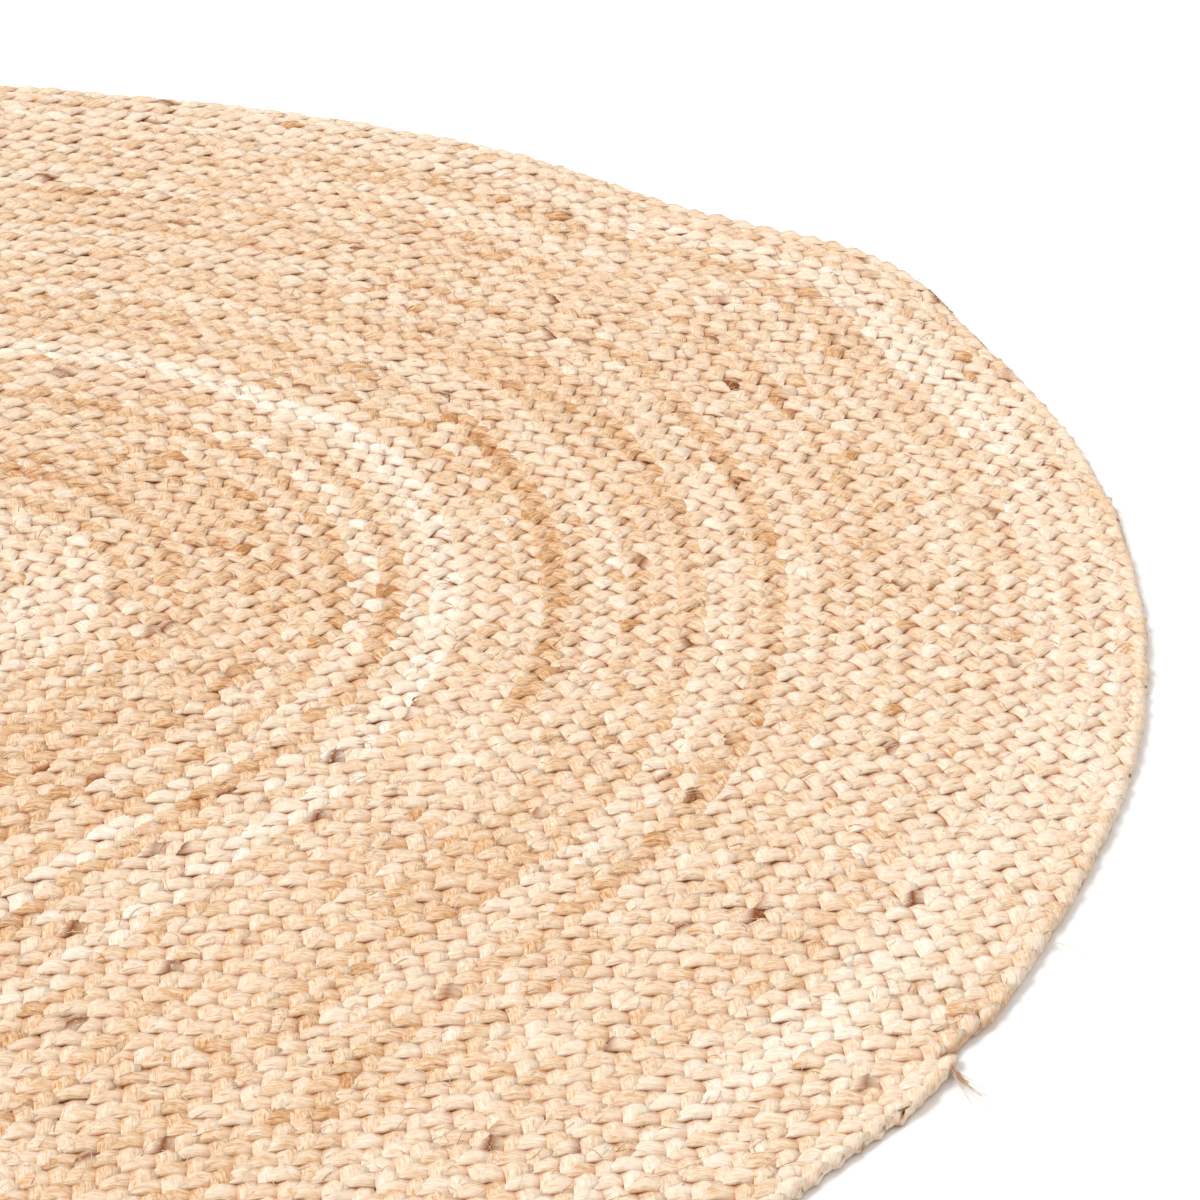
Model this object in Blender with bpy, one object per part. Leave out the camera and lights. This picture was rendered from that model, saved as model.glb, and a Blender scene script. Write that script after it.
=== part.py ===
# Oval braided jute rug: one flat plait wound round a straight core and sewn edge to edge.
# Metres, +Z up. The origin is the middle of the underside, and +X runs along the rug.
# Every lap of the plait is its own object, so the turns can be told apart and handled singly.

import math

import bmesh
import bpy
from mathutils import Matrix, Vector

# Driving dimensions. At these values the rug is 1.60 m wide and 2.30 m long.
LAPS = 46  # turns of the plait round the core
CORE_LENGTH = 0.71  # straight start of the plait, which gives the oval its extra length
BRAID_WIDTH = 0.0172  # from seam to seam
BRAID_HEIGHT = 0.009
EDGE_BEVEL = 0.0035  # how far the flat top and bottom stay back from each side of the plait
SEAM_GAP = 0.0003  # between the sides of two neighbouring laps
JOIN_GAP = 0.0003  # between the end of one lap and the start of the next
TAIL_LENGTH = 0.075  # last stretch of the plait, which narrows to its tip
TAIL_SETBACK = 0.037  # from the tip of the tail to where the half turn at the head would start
TAIL_TIP_WIDTH = 0.009
THREAD_WIDTH = 0.0012
THREAD_CLEARANCE = 0.0004  # between the thread's upper edge and the sides of its groove

# Facets in each half turn. The tight inner laps take fewer of them, and the change is a
# doubling, so that a fine lap always lies outside the coarse one that it goes round.
COARSE_STEPS = 6
FINE_STEPS = 12
COARSE_LAPS = 4

# Both half turns of a lap have fixed centres. They lie half a braid width apart across the
# rug, which carries each lap one braid width further out. The quarter of a braid width along
# the rug puts the origin in the middle of its length.
HEAD_CENTRE = Vector((CORE_LENGTH / 2 + BRAID_WIDTH / 4, BRAID_WIDTH / 2, 0))
FOOT_CENTRE = Vector((-CORE_LENGTH / 2 + BRAID_WIDTH / 4, 0, 0))
HALF_SIDE = (BRAID_WIDTH - SEAM_GAP) / 2
HALF_FLAT = BRAID_WIDTH / 2 - EDGE_BEVEL


def clear_scene():
    for thing in list(bpy.data.objects):
        bpy.data.objects.remove(thing, do_unlink=True)


def material(name, colour, roughness):
    """A plain non-metal surface for one sub-part."""
    made = bpy.data.materials.new(name)
    made.use_nodes = True
    shader = made.node_tree.nodes["Principled BSDF"]
    shader.inputs["Base Color"].default_value = (*colour, 1)
    shader.inputs["Roughness"].default_value = roughness
    shader.inputs["Metallic"].default_value = 0
    made.diffuse_color = (*colour, 1)
    return made


def jute_material(name, lap):
    """Jute straw, a little paler or warmer from one lap to the next."""
    warmth = 0.5 + 0.5 * math.sin(2.4 * lap)
    pale, warm = (0.86, 0.70, 0.50), (0.76, 0.54, 0.33)
    colour = [low + (high - low) * warmth for low, high in zip(pale, warm)]
    return material(name, colour, 0.85)


def finish(name, mesh, surface):
    """Turns the mesh's faces outward and puts it in the scene as one object."""
    bmesh.ops.recalc_face_normals(mesh, faces=mesh.faces)
    data = bpy.data.meshes.new(name)
    mesh.to_mesh(data)
    mesh.free()
    data.materials.append(surface)
    made = bpy.data.objects.new(name, data)
    bpy.context.scene.collection.objects.link(made)
    return made


def braid_section():
    """Outline of the flattened plait as (across, height) points, bevelled at all four edges."""
    top, middle = BRAID_HEIGHT, BRAID_HEIGHT / 2
    return [
        (-HALF_SIDE, middle),
        (-HALF_FLAT, 0),
        (HALF_FLAT, 0),
        (HALF_SIDE, middle),
        (HALF_FLAT, top),
        (-HALF_FLAT, top),
    ]


def thread_section():
    """Outline of the sewing thread, pressed up into the groove under two neighbouring laps."""
    groove_slope = (BRAID_HEIGHT / 2) / (EDGE_BEVEL - SEAM_GAP / 2)
    upper = BRAID_HEIGHT / 2 - (THREAD_CLEARANCE - SEAM_GAP / 2) * groove_slope
    lower = upper - THREAD_WIDTH * math.sqrt(3) / 2
    return [(-THREAD_WIDTH / 2, lower), (THREAD_WIDTH / 2, lower), (0, upper)]


def section_face(mesh, section, across, along=HEAD_CENTRE.x):
    """The section as a face across the rug's length, its middle at the given place."""
    corners = [mesh.verts.new((along, across + offset, height)) for offset, height in section]
    return mesh.faces.new(corners)


def turn_half(mesh, face, centre, steps):
    """Carries the face half a turn round the centre and gives the face at the end."""
    spun = bmesh.ops.spin(
        mesh, geom=[face, *face.edges], cent=centre, axis=(0, 0, 1), angle=math.pi, steps=steps
    )
    return next(part for part in spun["geom_last"] if isinstance(part, bmesh.types.BMFace))


def run_straight(mesh, face, step):
    """Carries the face along the step and gives the face at the end."""
    pulled = bmesh.ops.extrude_face_region(mesh, geom=[face, *face.edges])["geom"]
    corners = [part for part in pulled if isinstance(part, bmesh.types.BMVert)]
    bmesh.ops.translate(mesh, verts=corners, vec=step)
    return next(part for part in pulled if isinstance(part, bmesh.types.BMFace))


def arc_steps(lap):
    return COARSE_STEPS if lap <= COARSE_LAPS else FINE_STEPS


def braid_core():
    """The straight start of the plait. Its nose is rounded, since the first lap turns round it."""
    mesh = bmesh.new()
    half_section = [point for point in braid_section() if point[0] > 0]
    for step in range(COARSE_STEPS + 1):
        turn = Matrix.Rotation(math.pi * step / COARSE_STEPS, 4, "Z")
        for across, height in half_section:
            mesh.verts.new(FOOT_CENTRE + turn @ Vector((0, across, height)))
    for across, height in braid_section():
        mesh.verts.new((HEAD_CENTRE.x - JOIN_GAP, across, height))
    bmesh.ops.convex_hull(mesh, input=mesh.verts)
    finish("braid_core", mesh, jute_material("core_jute", 0))


def braid_lap(lap):
    """One whole turn: round the head, down one side, round the foot and back up the other."""
    mesh = bmesh.new()
    steps = arc_steps(lap)
    face = section_face(mesh, braid_section(), -(lap - 1) * BRAID_WIDTH)
    face = turn_half(mesh, face, HEAD_CENTRE, steps)
    face = run_straight(mesh, face, (-CORE_LENGTH, 0, 0))
    face = turn_half(mesh, face, FOOT_CENTRE, steps)
    last_run = CORE_LENGTH - JOIN_GAP
    if lap == LAPS:
        last_run -= TAIL_LENGTH + TAIL_SETBACK
    run_straight(mesh, face, (last_run, 0, 0))
    name = f"lap_{lap:02d}"
    finish(name, mesh, jute_material(f"{name}_jute", lap))


def braid_end():
    """The plait's last stretch. Its outer side closes in while its inner side stays sewn on."""
    mesh = bmesh.new()
    start = HEAD_CENTRE.x - TAIL_SETBACK - TAIL_LENGTH
    face = section_face(mesh, braid_section(), -LAPS * BRAID_WIDTH, start)
    tip = run_straight(mesh, face, (TAIL_LENGTH, 0, 0))
    middle = tip.calc_center_median().y
    for corner in tip.verts:
        if corner.co.y < middle:
            corner.co.y += 2 * HALF_SIDE - TAIL_TIP_WIDTH
    finish("braid_end", mesh, jute_material("end_jute", LAPS + 1))


def seam_thread():
    """The thread that joins each lap to the next, in the grooves of the underside."""
    mesh = bmesh.new()
    face = section_face(mesh, thread_section(), BRAID_WIDTH / 2)
    for lap in range(1, LAPS):
        face = run_straight(mesh, face, (-CORE_LENGTH, 0, 0))
        face = turn_half(mesh, face, FOOT_CENTRE, arc_steps(lap))
        face = run_straight(mesh, face, (CORE_LENGTH, 0, 0))
        face = turn_half(mesh, face, HEAD_CENTRE, arc_steps(lap + 1))
    face = run_straight(mesh, face, (-CORE_LENGTH, 0, 0))
    face = turn_half(mesh, face, FOOT_CENTRE, arc_steps(LAPS))
    run_straight(mesh, face, (CORE_LENGTH - TAIL_SETBACK, 0, 0))
    finish("seam_thread", mesh, material("thread_cotton", (0.80, 0.70, 0.55), 0.6))


clear_scene()
braid_core()
for lap_number in range(1, LAPS + 1):
    braid_lap(lap_number)
braid_end()
seam_thread()
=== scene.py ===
# Oval jute rug: one three-strand plait wound into laps and sewn edge to edge.
# Metres, +Z up. Every lap is a piece of its own, worked out along the spiral that the CAD laps follow.
import math

import bpy
import numpy as np
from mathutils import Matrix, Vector


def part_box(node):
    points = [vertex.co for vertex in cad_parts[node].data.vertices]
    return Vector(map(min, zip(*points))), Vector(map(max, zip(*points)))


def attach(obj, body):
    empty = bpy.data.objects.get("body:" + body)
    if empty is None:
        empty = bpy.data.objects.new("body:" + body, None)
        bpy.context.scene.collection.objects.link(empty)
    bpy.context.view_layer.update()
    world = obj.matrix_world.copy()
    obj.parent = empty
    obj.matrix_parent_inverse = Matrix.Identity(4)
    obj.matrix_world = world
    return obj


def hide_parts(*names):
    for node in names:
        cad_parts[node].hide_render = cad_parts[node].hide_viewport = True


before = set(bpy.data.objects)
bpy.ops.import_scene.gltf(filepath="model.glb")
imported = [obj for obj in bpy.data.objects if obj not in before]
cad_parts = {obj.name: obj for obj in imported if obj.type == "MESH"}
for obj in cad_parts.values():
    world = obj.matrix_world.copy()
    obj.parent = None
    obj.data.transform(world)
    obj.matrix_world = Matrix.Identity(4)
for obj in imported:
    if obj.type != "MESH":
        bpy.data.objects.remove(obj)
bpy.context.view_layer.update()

# The coil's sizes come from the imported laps. The plait starts as a straight core between the middles of
# the foot's and the head's half turns, and each lap lies one lap width further out than the one before.
lapNames = sorted(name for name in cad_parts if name.startswith("lap_"))
laps = len(lapNames)
lastLow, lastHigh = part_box(lapNames[-1])
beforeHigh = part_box(lapNames[-2])[1]
coreLow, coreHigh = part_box("braid_core")
tailLow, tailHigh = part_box("braid_end")
lapWidth = lastHigh.y - beforeHigh.y
coreWidth = coreHigh.y - coreLow.y
thickness = coreHigh.z
coreLength = lastHigh.x - lastLow.x - (2 * laps - 0.5) * lapWidth - coreWidth
headX = lastHigh.x - (laps - 0.5) * lapWidth - coreWidth / 2
footX = headX - coreLength
print(f"coil: {laps} laps of {lapWidth * 1000:.1f} mm round a core of {coreLength:.3f} m")


cameraFacts = {
    "lens": 147.06,  # on a 36 mm sensor
    "pitchDown": math.radians(28.77),
    "heading": math.radians(35.35),  # from +X towards +Y
    "fromHead": (-1.923, -1.910, 1.462),  # from the middle of the head's half turn, at the upper face
    "farthest": 50,
}


def makeCamera():
    facts = cameraFacts
    data = bpy.data.cameras.new("camera")
    data.lens = facts["lens"]
    data.sensor_width = 36
    data.clip_end = facts["farthest"]
    camera = bpy.data.objects.new("camera", data)
    bpy.context.scene.collection.objects.link(camera)
    camera.location = Vector((headX, lapWidth / 2, thickness)) + Vector(facts["fromHead"])
    camera.rotation_euler = (math.pi / 2 - facts["pitchDown"], 0, facts["heading"] - math.pi / 2)
    bpy.context.scene.camera = camera


makeCamera()
print("camera: placed")


studio = {
    "floorSide": 40,
    "floorTop": -0.0004,
    "floorColour": (0.93, 0.93, 0.93),
    "worldColour": (1, 0.99, 0.975),
    "worldStrength": 0.84,
    "sunStrength": 1.60,
    "sunAngle": math.radians(28),
    "sunFrom": (-0.48, 0.43, 1.0),  # behind the rug and to the left
}


def makeFloor():
    # one flat square under the rug
    half, top = studio["floorSide"] / 2, studio["floorTop"]
    mesh = bpy.data.meshes.new("floor")
    corners = [(x * half, y * half, top) for x, y in ((-1, -1), (1, -1), (1, 1), (-1, 1))]
    mesh.from_pydata(corners, [], [(0, 1, 2, 3)])
    floor = bpy.data.objects.new("floor", mesh)
    bpy.context.scene.collection.objects.link(floor)
    paper = bpy.data.materials.new("floorPaper")
    paper.use_nodes = True
    shader = paper.node_tree.nodes["Principled BSDF"]
    shader.inputs["Base Color"].default_value = (*studio["floorColour"], 1)
    shader.inputs["Roughness"].default_value = 1
    shader.inputs["Specular IOR Level"].default_value = 0
    mesh.materials.append(paper)


def makeLight():
    world = bpy.data.worlds.new("studio")
    world.use_nodes = True
    background = world.node_tree.nodes["Background"]
    background.inputs["Color"].default_value = (*studio["worldColour"], 1)
    background.inputs["Strength"].default_value = studio["worldStrength"]
    bpy.context.scene.world = world
    data = bpy.data.lights.new("softSun", "SUN")
    data.energy = studio["sunStrength"]
    data.angle = studio["sunAngle"]
    sun = bpy.data.objects.new("softSun", data)
    bpy.context.scene.collection.objects.link(sun)
    sun.rotation_euler = Vector(studio["sunFrom"]).to_track_quat("Z", "Y").to_euler()
    bpy.context.scene.view_settings.view_transform = "Standard"


makeFloor()
makeLight()
print("studio: floor and light")


def addNode(tree, kind, place, **settings):
    made = tree.nodes.new(kind)
    made.location = place
    for name, value in settings.items():
        setattr(made, name, value)
    return made


def setInputs(node, **values):
    # an underscore in the name stands for a space in the socket's name
    for name, value in values.items():
        node.inputs[name.replace("_", " ")].default_value = value


def plugIn(tree, sockets, values):
    # each value is either another node's output, which gets linked, or a fixed value
    for socket, value in zip(sockets, values):
        if hasattr(value, "is_output"):
            tree.links.new(value, socket)
        else:
            socket.default_value = value


def mathNode(tree, operation, place, *values, clamp=False):
    made = addNode(tree, "ShaderNodeMath", place, operation=operation, use_clamp=clamp)
    plugIn(tree, made.inputs, values)
    return made.outputs[0]


def mixColour(tree, factor, first, second, place):
    made = addNode(tree, "ShaderNodeMix", place, data_type="RGBA")
    plugIn(tree, (made.inputs["Factor"], made.inputs[6], made.inputs[7]), (factor, first, second))
    return made.outputs[2]


def easedRange(tree, value, span, ends, place):
    # goes smoothly from the first end to the second, while the value crosses the span
    made = addNode(tree, "ShaderNodeMapRange", place, interpolation_type="SMOOTHSTEP")
    plugIn(tree, made.inputs, (value, *span, *ends))
    return made.outputs["Result"]


def addBump(tree, height, strength, distance, place, shader):
    bump = addNode(tree, "ShaderNodeBump", place)
    setInputs(bump, Strength=strength, Distance=distance)
    tree.links.new(height, bump.inputs["Height"])
    tree.links.new(bump.outputs["Normal"], shader.inputs["Normal"])


def srgb(red, green, blue):
    shares = [channel / 255 for channel in (red, green, blue)]
    return (*[((c + 0.055) / 1.055) ** 2.4 if c > 0.04045 else c / 12.92 for c in shares], 1)


juteLook = {
    "tones": [  # from the brownest straw to the palest
        (0.00, srgb(188, 130, 78)),
        (0.22, srgb(220, 177, 131)),
        (0.48, srgb(236, 209, 181)),
        (0.74, srgb(243, 226, 205)),
        (1.00, srgb(251, 242, 229)),
    ],
    "streak": {"length": 0.010, "width": 0.0015, "detail": 3, "shift": 1.0},  # shift: of the tone, in all
    "fibre": {"length": 0.0045, "width": 0.0007, "detail": 2, "shift": 0.9},
    "patch": {"perMetre": 260, "shift": 0.8},
    # painted shade: the brown that the straw is darkened to where strands press together and where it lies
    # low between the lobes
    "paintedShadeColour": srgb(192, 125, 64),
    "paintedShadeReach": 0.0030,  # how near the next strand must be for the painted shade to darken the straw
    "paintedShadeSpan": (0.20, 0.78),  # openness between which the painted shade fades from brown to the straw's own colour
    "paintedShadeStrength": 0.75,
    "paintedGrooveShadeSpan": (0.0058, 0.0078),  # and the heights between which the painted groove shade fades the same way
    "paintedGrooveShadeStrength": 0.38,
    "speck": srgb(136, 72, 28),
    "speckSpan": (0.32, 0.46),  # of the patches, which break up the rim of each speck
    "roughness": (0.86, -0.25),  # on dull straw, and its change on a pale fibre
    "bumpStrength": 0.6,
    "bumpDistance": 0.0008,
}


def fibreNoise(tree, uv, facts, place):
    # a noise drawn out along the strand, so its spots become fibres of this length and width
    stretch = addNode(tree, "ShaderNodeMapping", place)
    stretch.inputs["Scale"].default_value = (1 / facts["length"], 1 / facts["width"], 1)
    tree.links.new(uv.outputs["UV"], stretch.inputs["Vector"])
    noise = addNode(tree, "ShaderNodeTexNoise", (place[0] + 200, place[1]))
    setInputs(noise, Scale=1, Detail=facts["detail"], Roughness=0.6, Distortion=0.7)
    tree.links.new(stretch.outputs["Vector"], noise.inputs["Vector"])
    return noise.outputs["Fac"]


def toneShift(tree, noise, shift, place):
    # the noise goes from 0 to 1, and the shift to either side of none
    return mathNode(tree, "MULTIPLY_ADD", place, noise, shift, -shift / 2)


def pieceMark(tree, title, place):
    return addNode(tree, "ShaderNodeAttribute", place, attribute_name=title).outputs["Fac"]


def makeJute():
    look = juteLook
    jute = bpy.data.materials.new("juteStraw")
    jute.use_nodes = True
    tree = jute.node_tree
    shader = tree.nodes["Principled BSDF"]
    shader.location = (900, 0)
    uv = addNode(tree, "ShaderNodeUVMap", (-1100, 0), uv_map="fibre")
    streak = fibreNoise(tree, uv, look["streak"], (-900, 100))
    fibre = fibreNoise(tree, uv, look["fibre"], (-900, -200))
    tone = pieceMark(tree, "tone", (-900, 400))
    speck = pieceMark(tree, "speck", (-900, 600))
    # the height that the painted groove shade reads
    height = pieceMark(tree, "height", (-240, -700))
    # patches of paler and warmer straw, a few millimetres across
    spot = addNode(tree, "ShaderNodeTexCoord", (-900, -500))
    patchNoise = addNode(tree, "ShaderNodeTexNoise", (-700, -500))
    setInputs(patchNoise, Scale=look["patch"]["perMetre"], Detail=4, Roughness=0.75)
    tree.links.new(spot.outputs["Object"], patchNoise.inputs["Vector"])
    patch = patchNoise.outputs["Fac"]
    # colour: the strand's own tone, shifted by streaks, single fibres and patches
    streakShift = toneShift(tree, streak, look["streak"]["shift"], (-450, 150))
    fibreShift = toneShift(tree, fibre, look["fibre"]["shift"], (-450, -100))
    patchShift = toneShift(tree, patch, look["patch"]["shift"], (-450, -300))
    shift = mathNode(tree, "ADD", (-280, 50), streakShift, fibreShift)
    shift = mathNode(tree, "ADD", (-200, 50), shift, patchShift)
    mixed = mathNode(tree, "ADD", (-120, 200), tone, shift, clamp=True)
    ramp = addNode(tree, "ShaderNodeValToRGB", (40, 250))
    while len(ramp.color_ramp.elements) < len(look["tones"]):
        ramp.color_ramp.elements.new(0.5)
    for element, (place, colour) in zip(ramp.color_ramp.elements, look["tones"]):
        element.position = place
        element.color = colour
    tree.links.new(mixed, ramp.inputs["Fac"])
    # painted shade: the straw is darkened to brown where strands press together, found by ambient
    # occlusion, and where it lies low between the lobes, found by its height
    near = addNode(tree, "ShaderNodeAmbientOcclusion", (-240, -500), samples=6)
    near.inputs["Distance"].default_value = look["paintedShadeReach"]
    pressed = easedRange(
        tree, near.outputs["AO"], look["paintedShadeSpan"], (look["paintedShadeStrength"], 0.0), (-60, -500)
    )
    low = easedRange(tree, height, look["paintedGrooveShadeSpan"], (look["paintedGrooveShadeStrength"], 0.0), (-60, -700))
    paintedShade = mathNode(tree, "MAXIMUM", (150, -600), pressed, low)
    surface = mixColour(tree, paintedShade, ramp.outputs["Color"], look["paintedShadeColour"], (400, 200))
    # dark specks of bark
    broken = easedRange(tree, patch, look["speckSpan"], (0.0, 1.0), (200, 500))
    speck = mathNode(tree, "MULTIPLY", (400, 500), speck, broken)
    surface = mixColour(tree, speck, surface, look["speck"], (600, 200))
    tree.links.new(surface, shader.inputs["Base Color"])
    # finish: dry straw, with a faint silk on the pale fibres
    dull, change = look["roughness"]
    rough = mathNode(tree, "MULTIPLY_ADD", (300, -200), fibre, change, dull)
    tree.links.new(rough, shader.inputs["Roughness"])
    setInputs(shader, Specular_IOR_Level=0.18, Sheen_Weight=0.03, Sheen_Roughness=0.5)
    relief = mathNode(tree, "ADD", (300, -400), streak, fibre)
    addBump(tree, relief, look["bumpStrength"], look["bumpDistance"], (600, -300), shader)
    return jute


cottonLook = {
    "dark": srgb(196, 168, 128),
    "pale": srgb(234, 214, 180),
    "twistAngle": math.radians(35),
    "twistsPerMetre": 1500,
}


def makeThreadCotton():
    # slanted waves across the thread, as its plies lie
    look = cottonLook
    cotton = bpy.data.materials.new("threadCotton")
    cotton.use_nodes = True
    tree = cotton.node_tree
    shader = tree.nodes["Principled BSDF"]
    uv = addNode(tree, "ShaderNodeUVMap", (-900, 0), uv_map="fibre")
    stretch = addNode(tree, "ShaderNodeMapping", (-700, 0))
    stretch.inputs["Rotation"].default_value = (0, 0, look["twistAngle"])
    stretch.inputs["Scale"].default_value = (look["twistsPerMetre"], look["twistsPerMetre"], 1)
    tree.links.new(uv.outputs["UV"], stretch.inputs["Vector"])
    twist = addNode(tree, "ShaderNodeTexWave", (-500, 0))
    setInputs(twist, Scale=0.35, Distortion=1.5, Detail=1)
    tree.links.new(stretch.outputs["Vector"], twist.inputs["Vector"])
    colour = mixColour(tree, twist.outputs["Fac"], look["dark"], look["pale"], (-250, 100))
    tree.links.new(colour, shader.inputs["Base Color"])
    setInputs(shader, Roughness=0.7, Specular_IOR_Level=0.3, Sheen_Weight=0.1)
    addBump(tree, twist.outputs["Fac"], 0.4, 0.0003, (-250, -200), shader)
    return cotton


juteStraw = makeJute()
threadCotton = makeThreadCotton()
print("materials: jute straw and thread cotton")


def lapLength(lap):
    # two straights and two half turns, the head's half a lap width tighter than the foot's
    return 2 * coreLength + math.pi * lapWidth * (2 * lap - 0.5)


def lapStart(lap):
    # length of plait that lies before this lap, from the start of the core
    before = lap - 1
    turns = math.pi * lapWidth * (before * (before + 1) - 0.5 * before)
    return coreLength + before * 2 * coreLength + turns


def tailSetback(corner):
    # how far this corner of the tail's box stays short of the last lap's end
    return headX - corner.x


def headBearing(place):
    # in degrees round the middle of the head's half turn, from +X towards +Y
    return np.degrees(np.arctan2(place[:, 1] - lapWidth / 2, place[:, 0] - headX))


def bell(bearing, at, spread):
    return np.exp(-(((bearing - at) / spread) ** 2))


edgeSway = [  # where the edge strays from a true oval: head bearing, spread, laps outward
    (38, 8, 1.2),
    (8, 12, -0.5),
    (-5, 7, -1.0),
    (-18, 7, 1.4),
    (-57, 20, -0.6),
    (-92, 9, 0.8),
    (-140, 14, 0.5),
    (150, 16, -0.5),
]


def swayed(place, outward, share):
    # each stray is a bell curve of the bearing, at its full size on the last lap and less towards the core
    bearing = headBearing(place)
    stray = sum(size * bell(bearing, at, spread) for at, spread, size in edgeSway)
    return place + outward * (stray * share**2 * lapWidth)[:, None]


def spiral(lap, run):
    # Place and outward direction at each length along the lap: a half circle round the head, a straight,
    # a half circle round the foot and a straight back.
    headRadius, footRadius = (lap - 0.5) * lapWidth, lap * lapWidth
    topStart = math.pi * headRadius
    footStart = topStart + coreLength
    lowStart = footStart + math.pi * footRadius
    turn = np.clip(run / headRadius, 0, math.pi) + np.clip((run - footStart) / footRadius, 0, math.pi)
    atHead = run < footStart
    radius = np.where(atHead, headRadius, footRadius)
    straight = np.where(atHead, np.clip(run - topStart, 0, None), np.clip(run - lowStart, 0, None))
    outward = np.stack([np.sin(turn), -np.cos(turn), 0 * turn], -1)
    onward = np.stack([np.cos(turn), np.sin(turn), 0 * turn], -1)
    centre = np.stack([np.where(atHead, headX, footX), np.where(atHead, lapWidth / 2, 0), 0 * turn], -1)
    place = centre + radius[:, None] * outward + straight[:, None] * onward
    return swayed(place, outward, (lap - 1 + run / lapLength(lap)) / laps), outward


def coreSpiral(run):
    # the straight core, which the first lap turns round
    place = np.stack([footX + run, 0 * run, 0 * run], -1)
    return place, np.broadcast_to(np.array([0.0, -1.0, 0.0]), place.shape)


def softNoise(run, step, seed):
    # random values a step apart along the whole plait, joined by smooth curves
    draw = np.random.default_rng(seed)
    knots = draw.normal(size=int(lapStart(laps + 1) / step) + 3)
    place = run / step
    before = np.floor(place).astype(int)
    share = place - before
    share = share * share * (3 - 2 * share)
    return knots[before] * (1 - share) + knots[before + 1] * share


def uneven(run, amount, seed):
    # an amount is a size, and the length of plait over which it changes
    size, step = amount
    return size * softNoise(run, step, seed)


def rareSpots(run, spots, seed):
    # 1 in the few places where the noise passes its threshold, 0 elsewhere
    step, threshold, gain = spots
    return np.clip((softNoise(run, step, seed) - threshold) * gain, 0, 1)


def tubeMesh(name, rings, along, girth, material, marks):
    # Rings are an array of tube, ring, side and xyz. Neighbouring rings are joined by quads, and each tube
    # is closed at both ends. The fibre map has the length along the tube, and the girth round it.
    count, steps, sides, _ = rings.shape
    index = np.arange(count * steps * sides).reshape(count, steps, sides)
    turned = np.roll(index, -1, axis=2)
    quads = np.stack([index[:, :-1], index[:, 1:], turned[:, 1:], turned[:, :-1]], -1).reshape(-1)
    caps = np.concatenate([index[:, 0], index[:, -1, ::-1]]).reshape(-1)
    corners = np.concatenate([quads, caps])
    starts = np.concatenate([np.arange(0, quads.size, 4), quads.size + np.arange(0, caps.size, sides)])
    mesh = bpy.data.meshes.new(name)
    mesh.vertices.add(index.size)
    mesh.vertices.foreach_set("co", rings.reshape(-1).astype(np.float32))
    mesh.loops.add(corners.size)
    mesh.loops.foreach_set("vertex_index", corners.astype(np.int32))
    mesh.polygons.add(starts.size)
    mesh.polygons.foreach_set("loop_start", starts.astype(np.int32))
    mesh.polygons.foreach_set("use_smooth", np.arange(starts.size) < quads.size // 4)
    mesh.update(calc_edges=True)
    lengthwise = np.broadcast_to(along[:, :, None], index.shape)
    around = np.broadcast_to(np.arange(sides) * girth / sides, index.shape)
    quadU = np.stack([lengthwise[:, :-1], lengthwise[:, 1:], lengthwise[:, 1:], lengthwise[:, :-1]], -1)
    quadV = np.stack([around[:, :-1], around[:, 1:], around[:, 1:], around[:, :-1]], -1)
    quadV = quadV + np.array([0, 0, 1, 1]) * girth / sides
    capU = np.concatenate([lengthwise[:, 0], lengthwise[:, -1]])
    capV = np.concatenate([around[:, 0], around[:, -1, ::-1]])
    u = np.concatenate([quadU.reshape(-1), capU.reshape(-1)])
    v = np.concatenate([quadV.reshape(-1), capV.reshape(-1)])
    layer = mesh.uv_layers.new(name="fibre")
    layer.uv.foreach_set("vector", np.stack([u, v], -1).reshape(-1).astype(np.float32))
    for title, values in marks.items():
        # a mark has one value for each ring, or for each side of each ring
        spread = np.broadcast_to(values if values.ndim == 3 else values[:, :, None], index.shape)
        mark = mesh.attributes.new(title, "FLOAT", "POINT")
        mark.data.foreach_set("value", spread.reshape(-1).astype(np.float32))
    mesh.materials.append(material)
    made = bpy.data.objects.new(name, mesh)
    bpy.context.scene.collection.objects.link(made)
    return made


def sectionRing(centre, side, up, halfWidth, halfHeight, turns, lumps=0):
    # An oval of this width and height round each point, with a corner at each of the turns in degrees
    # from the side direction towards up. Lumps push single corners out or in.
    angle = np.radians(turns)
    sideways = side[:, None, :] * (halfWidth[:, None] * np.cos(angle) * (1 + lumps))[:, :, None]
    upward = up[:, None, :] * (halfHeight[:, None] * np.sin(angle) * (1 + lumps))[:, :, None]
    return centre[:, None, :] + sideways + upward


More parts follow.
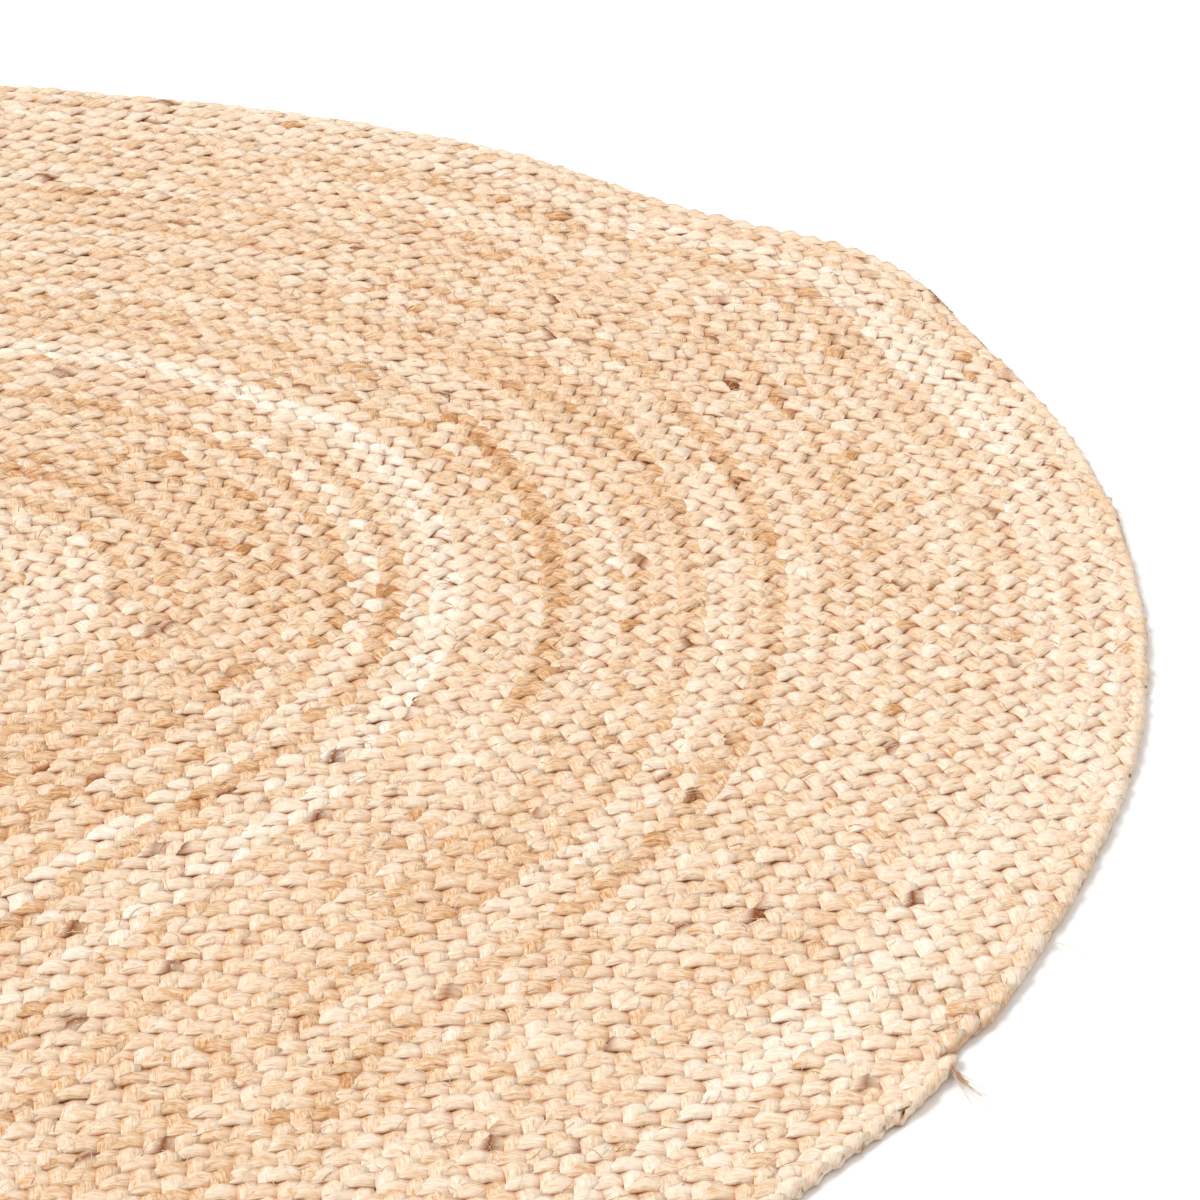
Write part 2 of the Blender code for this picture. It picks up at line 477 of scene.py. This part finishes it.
lowest = 0.0001  # nothing of the rug goes below this height
upright = np.array([0, 0, 1.0])
plait = {
    "strands": 3,
    "period": 3.1 * lapWidth,  # length in which a strand swings out, in and out again
    "swing": 0.600 * lapWidth,  # of a strand's middle, to either side, a little into the next lap
    "rise": 0.0019,  # of a strand's middle, above and below the plait's middle
    "plunge": 0.20,  # the smaller, the steeper a strand goes from the upper to the lower layer
    "slant": math.radians(34),  # of the ribbon's width from the run, where it crosses the plait's middle
    "halfWidth": (0.455 * lapWidth, 0.555 * lapWidth),  # where it crosses the middle, where it folds over
    "halfHeight": 0.0025,
    "sectionTurns": (90, 150, 210, 270, 330, 30),
    "girth": 0.032,
    "stepsPerPeriod": 12,
    "edgeDraw": 0.10,  # how far the rug's outermost side draws in, as a share of the swing
    "edgeDrawLength": 0.06,  # in which it does so
    "edgeWidening": 0.9,  # of a strand that swings less, so that its folds close up at the free edge
    "tipThinning": 0.6,  # of a strand where the plait narrows to nothing
    "phaseNoise": (0.05, 0.09),  # size and length of each unevenness
    "fullnessNoise": (0.07, 3.1 * lapWidth / 3),
    "sideNoise": (0.0007, 0.021),
    "liftNoise": (0.00035, 0.017),
    "lumps": (0.08, 0.0062),
    "wander": (0.0032, 0.07),  # along the run, so that the lobes are not evenly long
    "wanderFade": 0.15,  # length at each end of a lap in which the wander dies away
    "patternShift": (0.37, 11.3),  # of the fibre map, from lap to lap and from strand to strand
    "bareEdge": (0.15, 0.35),  # lap widths outward between which the free edge begins, where the painted groove shade stops
}
fullKeep = 1 - 2 * plait["edgeDraw"]  # share of the swing that is left along the free edge


def strandRings(spine, outward, run, strand, squeeze):
    # A strand swings sideways as sin(phase). It rises as -sin(2 phase), flattened towards its limits, so it
    # goes over one neighbour and under the next, a third of a period behind the strand before it. It is a
    # ribbon that folds over along each side of the plait. Its width lies back along the run, turned from
    # it by slant cos(phase). Squeeze is the share of the swing that is kept, and a shift outward.
    facts = plait
    keep, shift = squeeze
    seed = 100 * strand
    phase = 2 * math.pi * (run / facts["period"] + strand / facts["strands"])
    phase = phase + uneven(run, facts["phaseNoise"], seed + 1)
    fullness = 1 + uneven(run, facts["fullnessNoise"], seed + 2)
    fullness = fullness * (1 - facts["tipThinning"] * (1 - np.clip(keep / fullKeep, 0, 1)))
    sine, cosine, double = np.sin(phase), np.cos(phase), np.sin(2 * phase)
    sideways = facts["swing"] * sine * keep + uneven(run, facts["sideNoise"], seed + 3)
    steepness = facts["rise"] * math.sqrt(1 + facts["plunge"])
    lift = -steepness * double / np.sqrt(double**2 + facts["plunge"])
    climb = -2 * steepness * np.cos(2 * phase) * facts["plunge"] / (double**2 + facts["plunge"]) ** 1.5
    lift = lift + uneven(run, facts["liftNoise"], seed + 4)
    centre = spine + outward * (sideways + shift)[:, None] + upright * (thickness / 2 + lift)[:, None]
    # the ribbon's thickness stands square to its width and to the strand's path
    onward = np.cross(upright, outward)
    slant = -facts["slant"] * cosine
    side = -onward * np.cos(slant)[:, None] - outward * np.sin(slant)[:, None]
    path = outward * (facts["swing"] * cosine * keep)[:, None] + upright * climb[:, None]
    path = path + onward * facts["period"] / (2 * math.pi)
    up = np.cross(side, path)
    up /= np.linalg.norm(up, axis=1)[:, None]
    turns = facts["sectionTurns"]
    lumps = [uneven(run, facts["lumps"], seed + 10 + corner) for corner in range(len(turns))]
    middle, fold = facts["halfWidth"]
    width = (middle + (fold - middle) * sine**2) * fullness * (1 + facts["edgeWidening"] * (1 - keep))
    rings = sectionRing(centre, side, up, width, facts["halfHeight"] * fullness, turns, np.stack(lumps, -1))
    rings[:, :, 2] = np.maximum(rings[:, :, 2], lowest)
    return rings


straw = {
    "tone": 0.50,  # from 0, the brownest, to 1, the palest
    "paleSide": (-75, 35, 0.05),  # paler round this head bearing: bearing, spread, how much
    "brownInside": (41, 14, 0.05),  # browner inside this lap: lap, over how many laps, how much
    "lapNoise": (0.085, 1.3),  # the same on all strands: size and length of each unevenness
    "strandNoises": [(0.05, 0.9), (0.05, 0.23), (0.05, 0.052), (0.035, 0.017)],
    "brownLobes": (0.016, 1.5, 1.5),  # rare: length, threshold, gain
    "brownLobeShift": -0.28,
    "specks": (0.008, 2.10, 3.5),
    "stretches": [  # lap, head bearings from and to, and how much paler or browner
        (21, -180, 180, 0.22),
        (25, -78, -18, -0.24),
        (37, 4, 180, 0.16),
        (38, 20, 180, 0.10),
    ],
    "stretchFade": 6,  # degrees in which a stretch begins and ends
}


def strandTone(run, strand, lap, spine):
    # paler and browner stretches of straw, from lap to lap, along the strand and from lobe to lobe
    facts = straw
    seed = 500 + 100 * strand
    bearing = headBearing(spine)
    paleAt, paleSpread, paler = facts["paleSide"]
    brownLap, brownLaps, browner = facts["brownInside"]
    tone = facts["tone"] + paler * bell(bearing, paleAt, paleSpread)
    tone = tone - browner * min(max((brownLap - lap) / brownLaps, 0), 1)
    tone = tone + uneven(run, facts["lapNoise"], 497)
    for order, amount in enumerate(facts["strandNoises"]):
        tone = tone + uneven(run, amount, seed + order)
    tone = tone + facts["brownLobeShift"] * rareSpots(run, facts["brownLobes"], seed + 5)
    for which, low, high, shift in facts["stretches"]:
        begun = np.clip((bearing - low) / facts["stretchFade"], 0, 1)
        left = np.clip((high - bearing) / facts["stretchFade"], 0, 1)
        tone = tone + shift * begun * left * (which == lap)
    return tone, rareSpots(run, facts["specks"], seed + 4)


def samplesOver(start, length):
    # lengths along the piece: its two ends, and the even steps of the whole plait that lie between them
    step = plait["period"] / plait["stepsPerPeriod"]
    spare = 0.3  # of a step, so that no two rings lie too close
    inner = np.arange(math.ceil(start / step + spare), math.floor((start + length) / step - spare) + 1)
    return np.concatenate([[0], inner * step - start, [length]])


def grooveShadeHeight(rings, spine, outward, lap):
    # the height of each corner, which the painted groove shade reads, but the rug's free edge counts as
    # high, so that it gets no painted shade, since it is as pale as the top
    begins, whole = plait["bareEdge"]
    across = np.einsum("ijk,ik->ij", rings - spine[:, None, :], outward)
    bare = (lap == laps) * np.clip((across / lapWidth - begins) / (whole - begins), 0, 1)
    return rings[:, :, 2] * (1 - bare) + thickness * bare


def braidRun(name, node, lap, spine, outward, run, squeeze=(1.0, 0.0)):
    # three strands over the same stretch of the spine, as one piece
    rings, tones, specks, heights, along = [], [], [], [], []
    squeeze = [np.broadcast_to(part, run.shape) for part in squeeze]
    lapShift, strandShift = plait["patternShift"]
    for strand in range(plait["strands"]):
        ring = strandRings(spine, outward, run, strand, squeeze)
        tone, speck = strandTone(run, strand, lap, spine)
        rings.append(ring)
        heights.append(grooveShadeHeight(ring, spine, outward, lap))
        tones.append(tone)
        specks.append(speck)
        along.append(run - run[0] + lapShift * lap + strandShift * strand)
    # the heights are what the painted groove shade reads
    marks = {"tone": np.array(tones), "speck": np.array(specks), "height": np.array(heights)}
    piece = tubeMesh(name, np.array(rings), np.array(along), plait["girth"], juteStraw, marks)
    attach(piece, "root")
    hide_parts(node)


def makeCore():
    local = samplesOver(0, coreLength)
    spine, outward = coreSpiral(local)
    braidRun("plaitCore", "braid_core", 0, spine, outward, local)


def makeLap(lap):
    length = lapLength(lap)
    if lap == laps:
        length -= tailSetback(tailLow)
    local = samplesOver(lapStart(lap), length)
    run = lapStart(lap) + local
    steady = np.clip(np.minimum(local, length - local) / plait["wanderFade"], 0, 1)
    spine, outward = spiral(lap, local + uneven(run, plait["wander"], 498) * steady)
    # the last lap is not pressed into another one, so its outer side draws in
    free = np.clip(local / plait["edgeDrawLength"], 0, 1) * (lap == laps)
    squeeze = (1 - 2 * plait["edgeDraw"] * free, -plait["edgeDraw"] * plait["swing"] * free)
    braidRun(f"plaitLap_{lap:02d}", lapNames[lap - 1], lap, spine, outward, run, squeeze)


tail = {
    "shortBy": 0.012,  # its strands end before the tip, and the tuft goes on
    "narrowing": 0.65,
    "narrowingPower": 4,
}


def makeTail():
    # the last stretch narrows, while its inner side stays sewn to the lap before it
    start = lapLength(laps) - tailSetback(tailLow)
    length = tailHigh.x - tailLow.x - tail["shortBy"]
    local = start + samplesOver(lapStart(laps) + start, length)
    spine, outward = spiral(laps, local)
    share = (local - start) / length
    keep = fullKeep * (1 - tail["narrowing"] * share ** tail["narrowingPower"])
    shift = -plait["swing"] * (1 - plait["edgeDraw"] - keep)
    braidRun("plaitTail", "braid_end", laps, spine, outward, lapStart(laps) + local, (keep, shift))


makeCore()
for lapNumber in range(1, laps + 1):
    makeLap(lapNumber)
makeTail()
print("plait: core, laps and tail")


stitching = {
    "halfStitch": 0.010,
    "reach": 0.0026,  # to either side of the seam
    "height": 0.0011,
    "halfWidth": 0.0006,
    "girth": 0.0036,
}
thinTurns = (90, 210, 330)  # corners of a thread's or a single fibre's section, in degrees


def makeThread():
    # a zigzag along the inner side of each lap, low in the groove of the underside
    facts = stitching
    places = []
    for lap in range(1, laps + 1):
        # the first lap's inner side turns on the spot at the head, so its seam begins after that
        first = math.pi * lapWidth / 2 if lap == 1 else 0
        last = lapLength(lap)
        if lap == laps:
            last -= tailSetback(tailHigh)
        local = np.arange(first, last, facts["halfStitch"])
        spine, outward = spiral(lap, local)
        places.append(spine - outward * lapWidth / 2)
    seam = np.concatenate(places)
    onward = np.gradient(seam, axis=0)
    onward /= np.linalg.norm(onward, axis=1)[:, None]
    right = np.stack([onward[:, 1], -onward[:, 0], 0 * onward[:, 0]], -1)
    sign = np.where(np.arange(len(seam)) % 2 == 0, 1.0, -1.0)
    centre = seam + right * (sign * facts["reach"])[:, None] + np.array([0, 0, facts["height"]])
    full = np.full(len(seam), facts["halfWidth"])
    rings = sectionRing(centre, right, np.broadcast_to(upright, seam.shape), full, full, thinTurns)
    along = np.arange(len(seam)) * facts["halfStitch"]
    piece = tubeMesh("seamThread", rings[None], along[None], facts["girth"], threadCotton, {})
    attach(piece, "root")
    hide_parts("seam_thread")


makeThread()
print("thread: zigzag in the grooves of the underside")


fibreShape = {
    "tipThinning": 0.6,
    "bendPower": 1.5,  # above 1 a fibre bends more towards its tip
    "girth": 0.002,
    "patternShift": 0.31,  # of the fibre map, from one fibre to the next
}


def fibreTubes(name, steps, start, heading, bend, length, lift, drop, radius, tone):
    # Each fibre is a thin bowed tube. It turns by its bend on the way, arches up by its lift as
    # sin(pi share) and ends lower than it starts by its drop.
    facts = fibreShape
    share = np.linspace(0, 1, steps)
    angle = heading[:, None] + bend[:, None] * share ** facts["bendPower"]
    stepLength = (length / (steps - 1))[:, None]
    x = np.concatenate([0 * stepLength, np.cumsum(np.cos(angle[:, 1:]) * stepLength, 1)], 1)
    y = np.concatenate([0 * stepLength, np.cumsum(np.sin(angle[:, 1:]) * stepLength, 1)], 1)
    z = lift[:, None] * np.sin(math.pi * share) - drop[:, None] * share
    centre = (start[:, None, :] + np.stack([x, y, z], -1)).reshape(-1, 3)
    side = np.stack([np.sin(angle), -np.cos(angle), 0 * angle], -1).reshape(-1, 3)
    thin = (radius[:, None] * (1 - facts["tipThinning"] * share)).reshape(-1)
    rings = sectionRing(centre, side, np.broadcast_to(upright, side.shape), thin, thin, thinTurns)
    rings[:, :, 2] = np.maximum(rings[:, :, 2], lowest)
    rings = rings.reshape(len(start), steps, len(thinTurns), 3)
    along = share * length[:, None] + np.arange(len(start))[:, None] * facts["patternShift"]
    marks = {
        "tone": np.broadcast_to(tone[:, None], angle.shape),
        "speck": 0 * angle,
        # a fibre counts as high, so the painted groove shade does not darken it
        "height": 0 * angle + thickness,
    }
    piece = tubeMesh(name, rings, along, facts["girth"], juteStraw, marks)
    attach(piece, "root")


fuzz = {
    "count": 17000,
    "steps": 4,
    "length": (0.005, 0.018),
    "radius": 0.00023,
    "radiusShare": (0.7, 1.4),
    "lift": 0.0012,
    "liftShare": (0.2, 1.5),
    "across": 0.45,  # lap widths to either side of a lap's middle
    "rootHeight": (0.0072, 0.0084),
    "headingSpread": 0.7,
    "bendSpread": 0.8,
    "tones": [0.15, 0.6, 0.95],
    "toneOdds": [0.3, 0.3, 0.4],
    "tailGap": 0.01,
}


def makeFuzz():
    # fine fibres that have worked loose all over the upper face, as many on each lap as its length asks
    facts = fuzz
    draw = np.random.default_rng(77)
    lengths = np.array([lapLength(lap) for lap in range(1, laps + 1)])
    chosen = draw.choice(laps, size=facts["count"], p=lengths / lengths.sum()) + 1
    starts, headings = [], []
    for lap in range(1, laps + 1):
        room = lapLength(lap) - (tailSetback(tailLow) + facts["tailGap"] if lap == laps else 0)
        local = draw.uniform(0, room, size=int((chosen == lap).sum()))
        spine, outward = spiral(lap, local)
        offset = draw.uniform(-facts["across"], facts["across"], size=len(local)) * lapWidth
        starts.append(spine + outward * offset[:, None])
        headings.append(np.arctan2(outward[:, 1], outward[:, 0]) + math.pi / 2)
    start, heading = np.concatenate(starts), np.concatenate(headings)
    size = len(start)
    start[:, 2] = draw.uniform(*facts["rootHeight"], size=size)
    heading = heading + draw.normal(scale=facts["headingSpread"], size=size)
    length = draw.uniform(*facts["length"], size=size)
    lift = facts["lift"] * draw.uniform(*facts["liftShare"], size=size)
    radius = facts["radius"] * draw.uniform(*facts["radiusShare"], size=size)
    tone = draw.choice(facts["tones"], p=facts["toneOdds"], size=size)
    bend = draw.normal(scale=facts["bendSpread"], size=size)
    row = (start, heading, bend, length, lift, 0 * lift, radius, tone)
    for name, first in (("looseFibres_1", 0), ("looseFibres_2", 1)):
        fibreTubes(name, facts["steps"], *[values[first::2] for values in row])


tuft = {
    "count": 34,
    "steps": 8,
    "length": (0.026, 0.046),
    "broken": (0.5, 0.6),  # share of its length that a broken fibre keeps, and how many are broken
    "radius": 0.00030,
    "radiusShare": (0.6, 1.3),
    "insideTip": 0.014,  # where the fibres come out, back from the tip of the tail's box
    "across": -0.30 * lapWidth,  # from the lap's middle
    "spread": 0.0013,  # of the fibres' roots across the plait's tip
    "rootHeight": (0.0025, 0.0068),
    "heading": math.radians(-38),  # from straight outward
    "headingSpread": 0.07,
    "bend": 0.45,
    "bendSpread": 0.20,
    "lift": 0.0006,
    "dropShare": 0.8,  # of the root's height
    "tones": (0.25, 0.8),
}


def makeTuft():
    # the frayed tip of the plait
    facts = tuft
    draw = np.random.default_rng(5)
    count = facts["count"]
    tip = np.full(count, lapLength(laps) - tailSetback(tailHigh) - facts["insideTip"])
    spine, outward = spiral(laps, tip)
    across = facts["across"] + facts["spread"] * draw.uniform(-1, 1, size=count)
    start = spine + outward * across[:, None]
    start[:, 2] = draw.uniform(*facts["rootHeight"], size=count)
    facing = np.arctan2(outward[:, 1], outward[:, 0])
    heading = facing + facts["heading"] + draw.normal(scale=facts["headingSpread"], size=count)
    bend = draw.normal(loc=facts["bend"], scale=facts["bendSpread"], size=count)
    keptShare, odds = facts["broken"]
    length = draw.uniform(*facts["length"], size=count)
    length = length * draw.choice([keptShare, 1.0], p=[odds, 1 - odds], size=count)
    radius = facts["radius"] * draw.uniform(*facts["radiusShare"], size=count)
    tone = draw.uniform(*facts["tones"], size=count)
    lift = np.full(count, facts["lift"])
    drop = start[:, 2] * facts["dropShare"]
    fibreTubes("tailTuft", facts["steps"], start, heading, bend, length, lift, drop, radius, tone)


strays = {
    "fibres": [  # head bearing, length, and turn away from straight out in degrees
        (-84.5, 0.026, 20),
        (-84.2, 0.015, -35),
        (-62.0, 0.011, 50),
        (-40.0, 0.012, -60),
        (-14.0, 0.010, 40),
        (24.0, 0.012, -50),
    ],
    "steps": 8,
    "across": 0.42 * lapWidth,
    "rootHeight": 0.0052,
    "bendShare": -1.2,  # of the turn, so that a fibre curls back
    "radius": 0.00022,
    "lift": 0.0020,
    "drop": 0.0040,
    "tone": 0.45,
}


def makeStrays():
    # a few long fibres that stand out from the rug's edge
    facts = strays
    bearing, length, turn = np.array(facts["fibres"]).T
    local = (np.radians(bearing) + math.pi / 2) * (laps - 0.5) * lapWidth
    spine, outward = spiral(laps, local)
    start = spine + outward * facts["across"]
    start[:, 2] = facts["rootHeight"]
    heading = np.arctan2(outward[:, 1], outward[:, 0]) + np.radians(turn)
    bend = np.radians(turn) * facts["bendShare"]
    lift, drop, radius, tone = (
        np.full(len(turn), facts[title]) for title in ("lift", "drop", "radius", "tone")
    )
    fibreTubes("edgeStrays", facts["steps"], start, heading, bend, length, lift, drop, radius, tone)


makeFuzz()
makeTuft()
makeStrays()
print("fibres: loose ends on the plait, its frayed tip and the edge")

shown = [thing.data for thing in bpy.data.objects if thing.type == "MESH" and not thing.hide_render]
print("triangles shown:", sum(len(mesh.loops) - 2 * len(mesh.polygons) for mesh in shown))
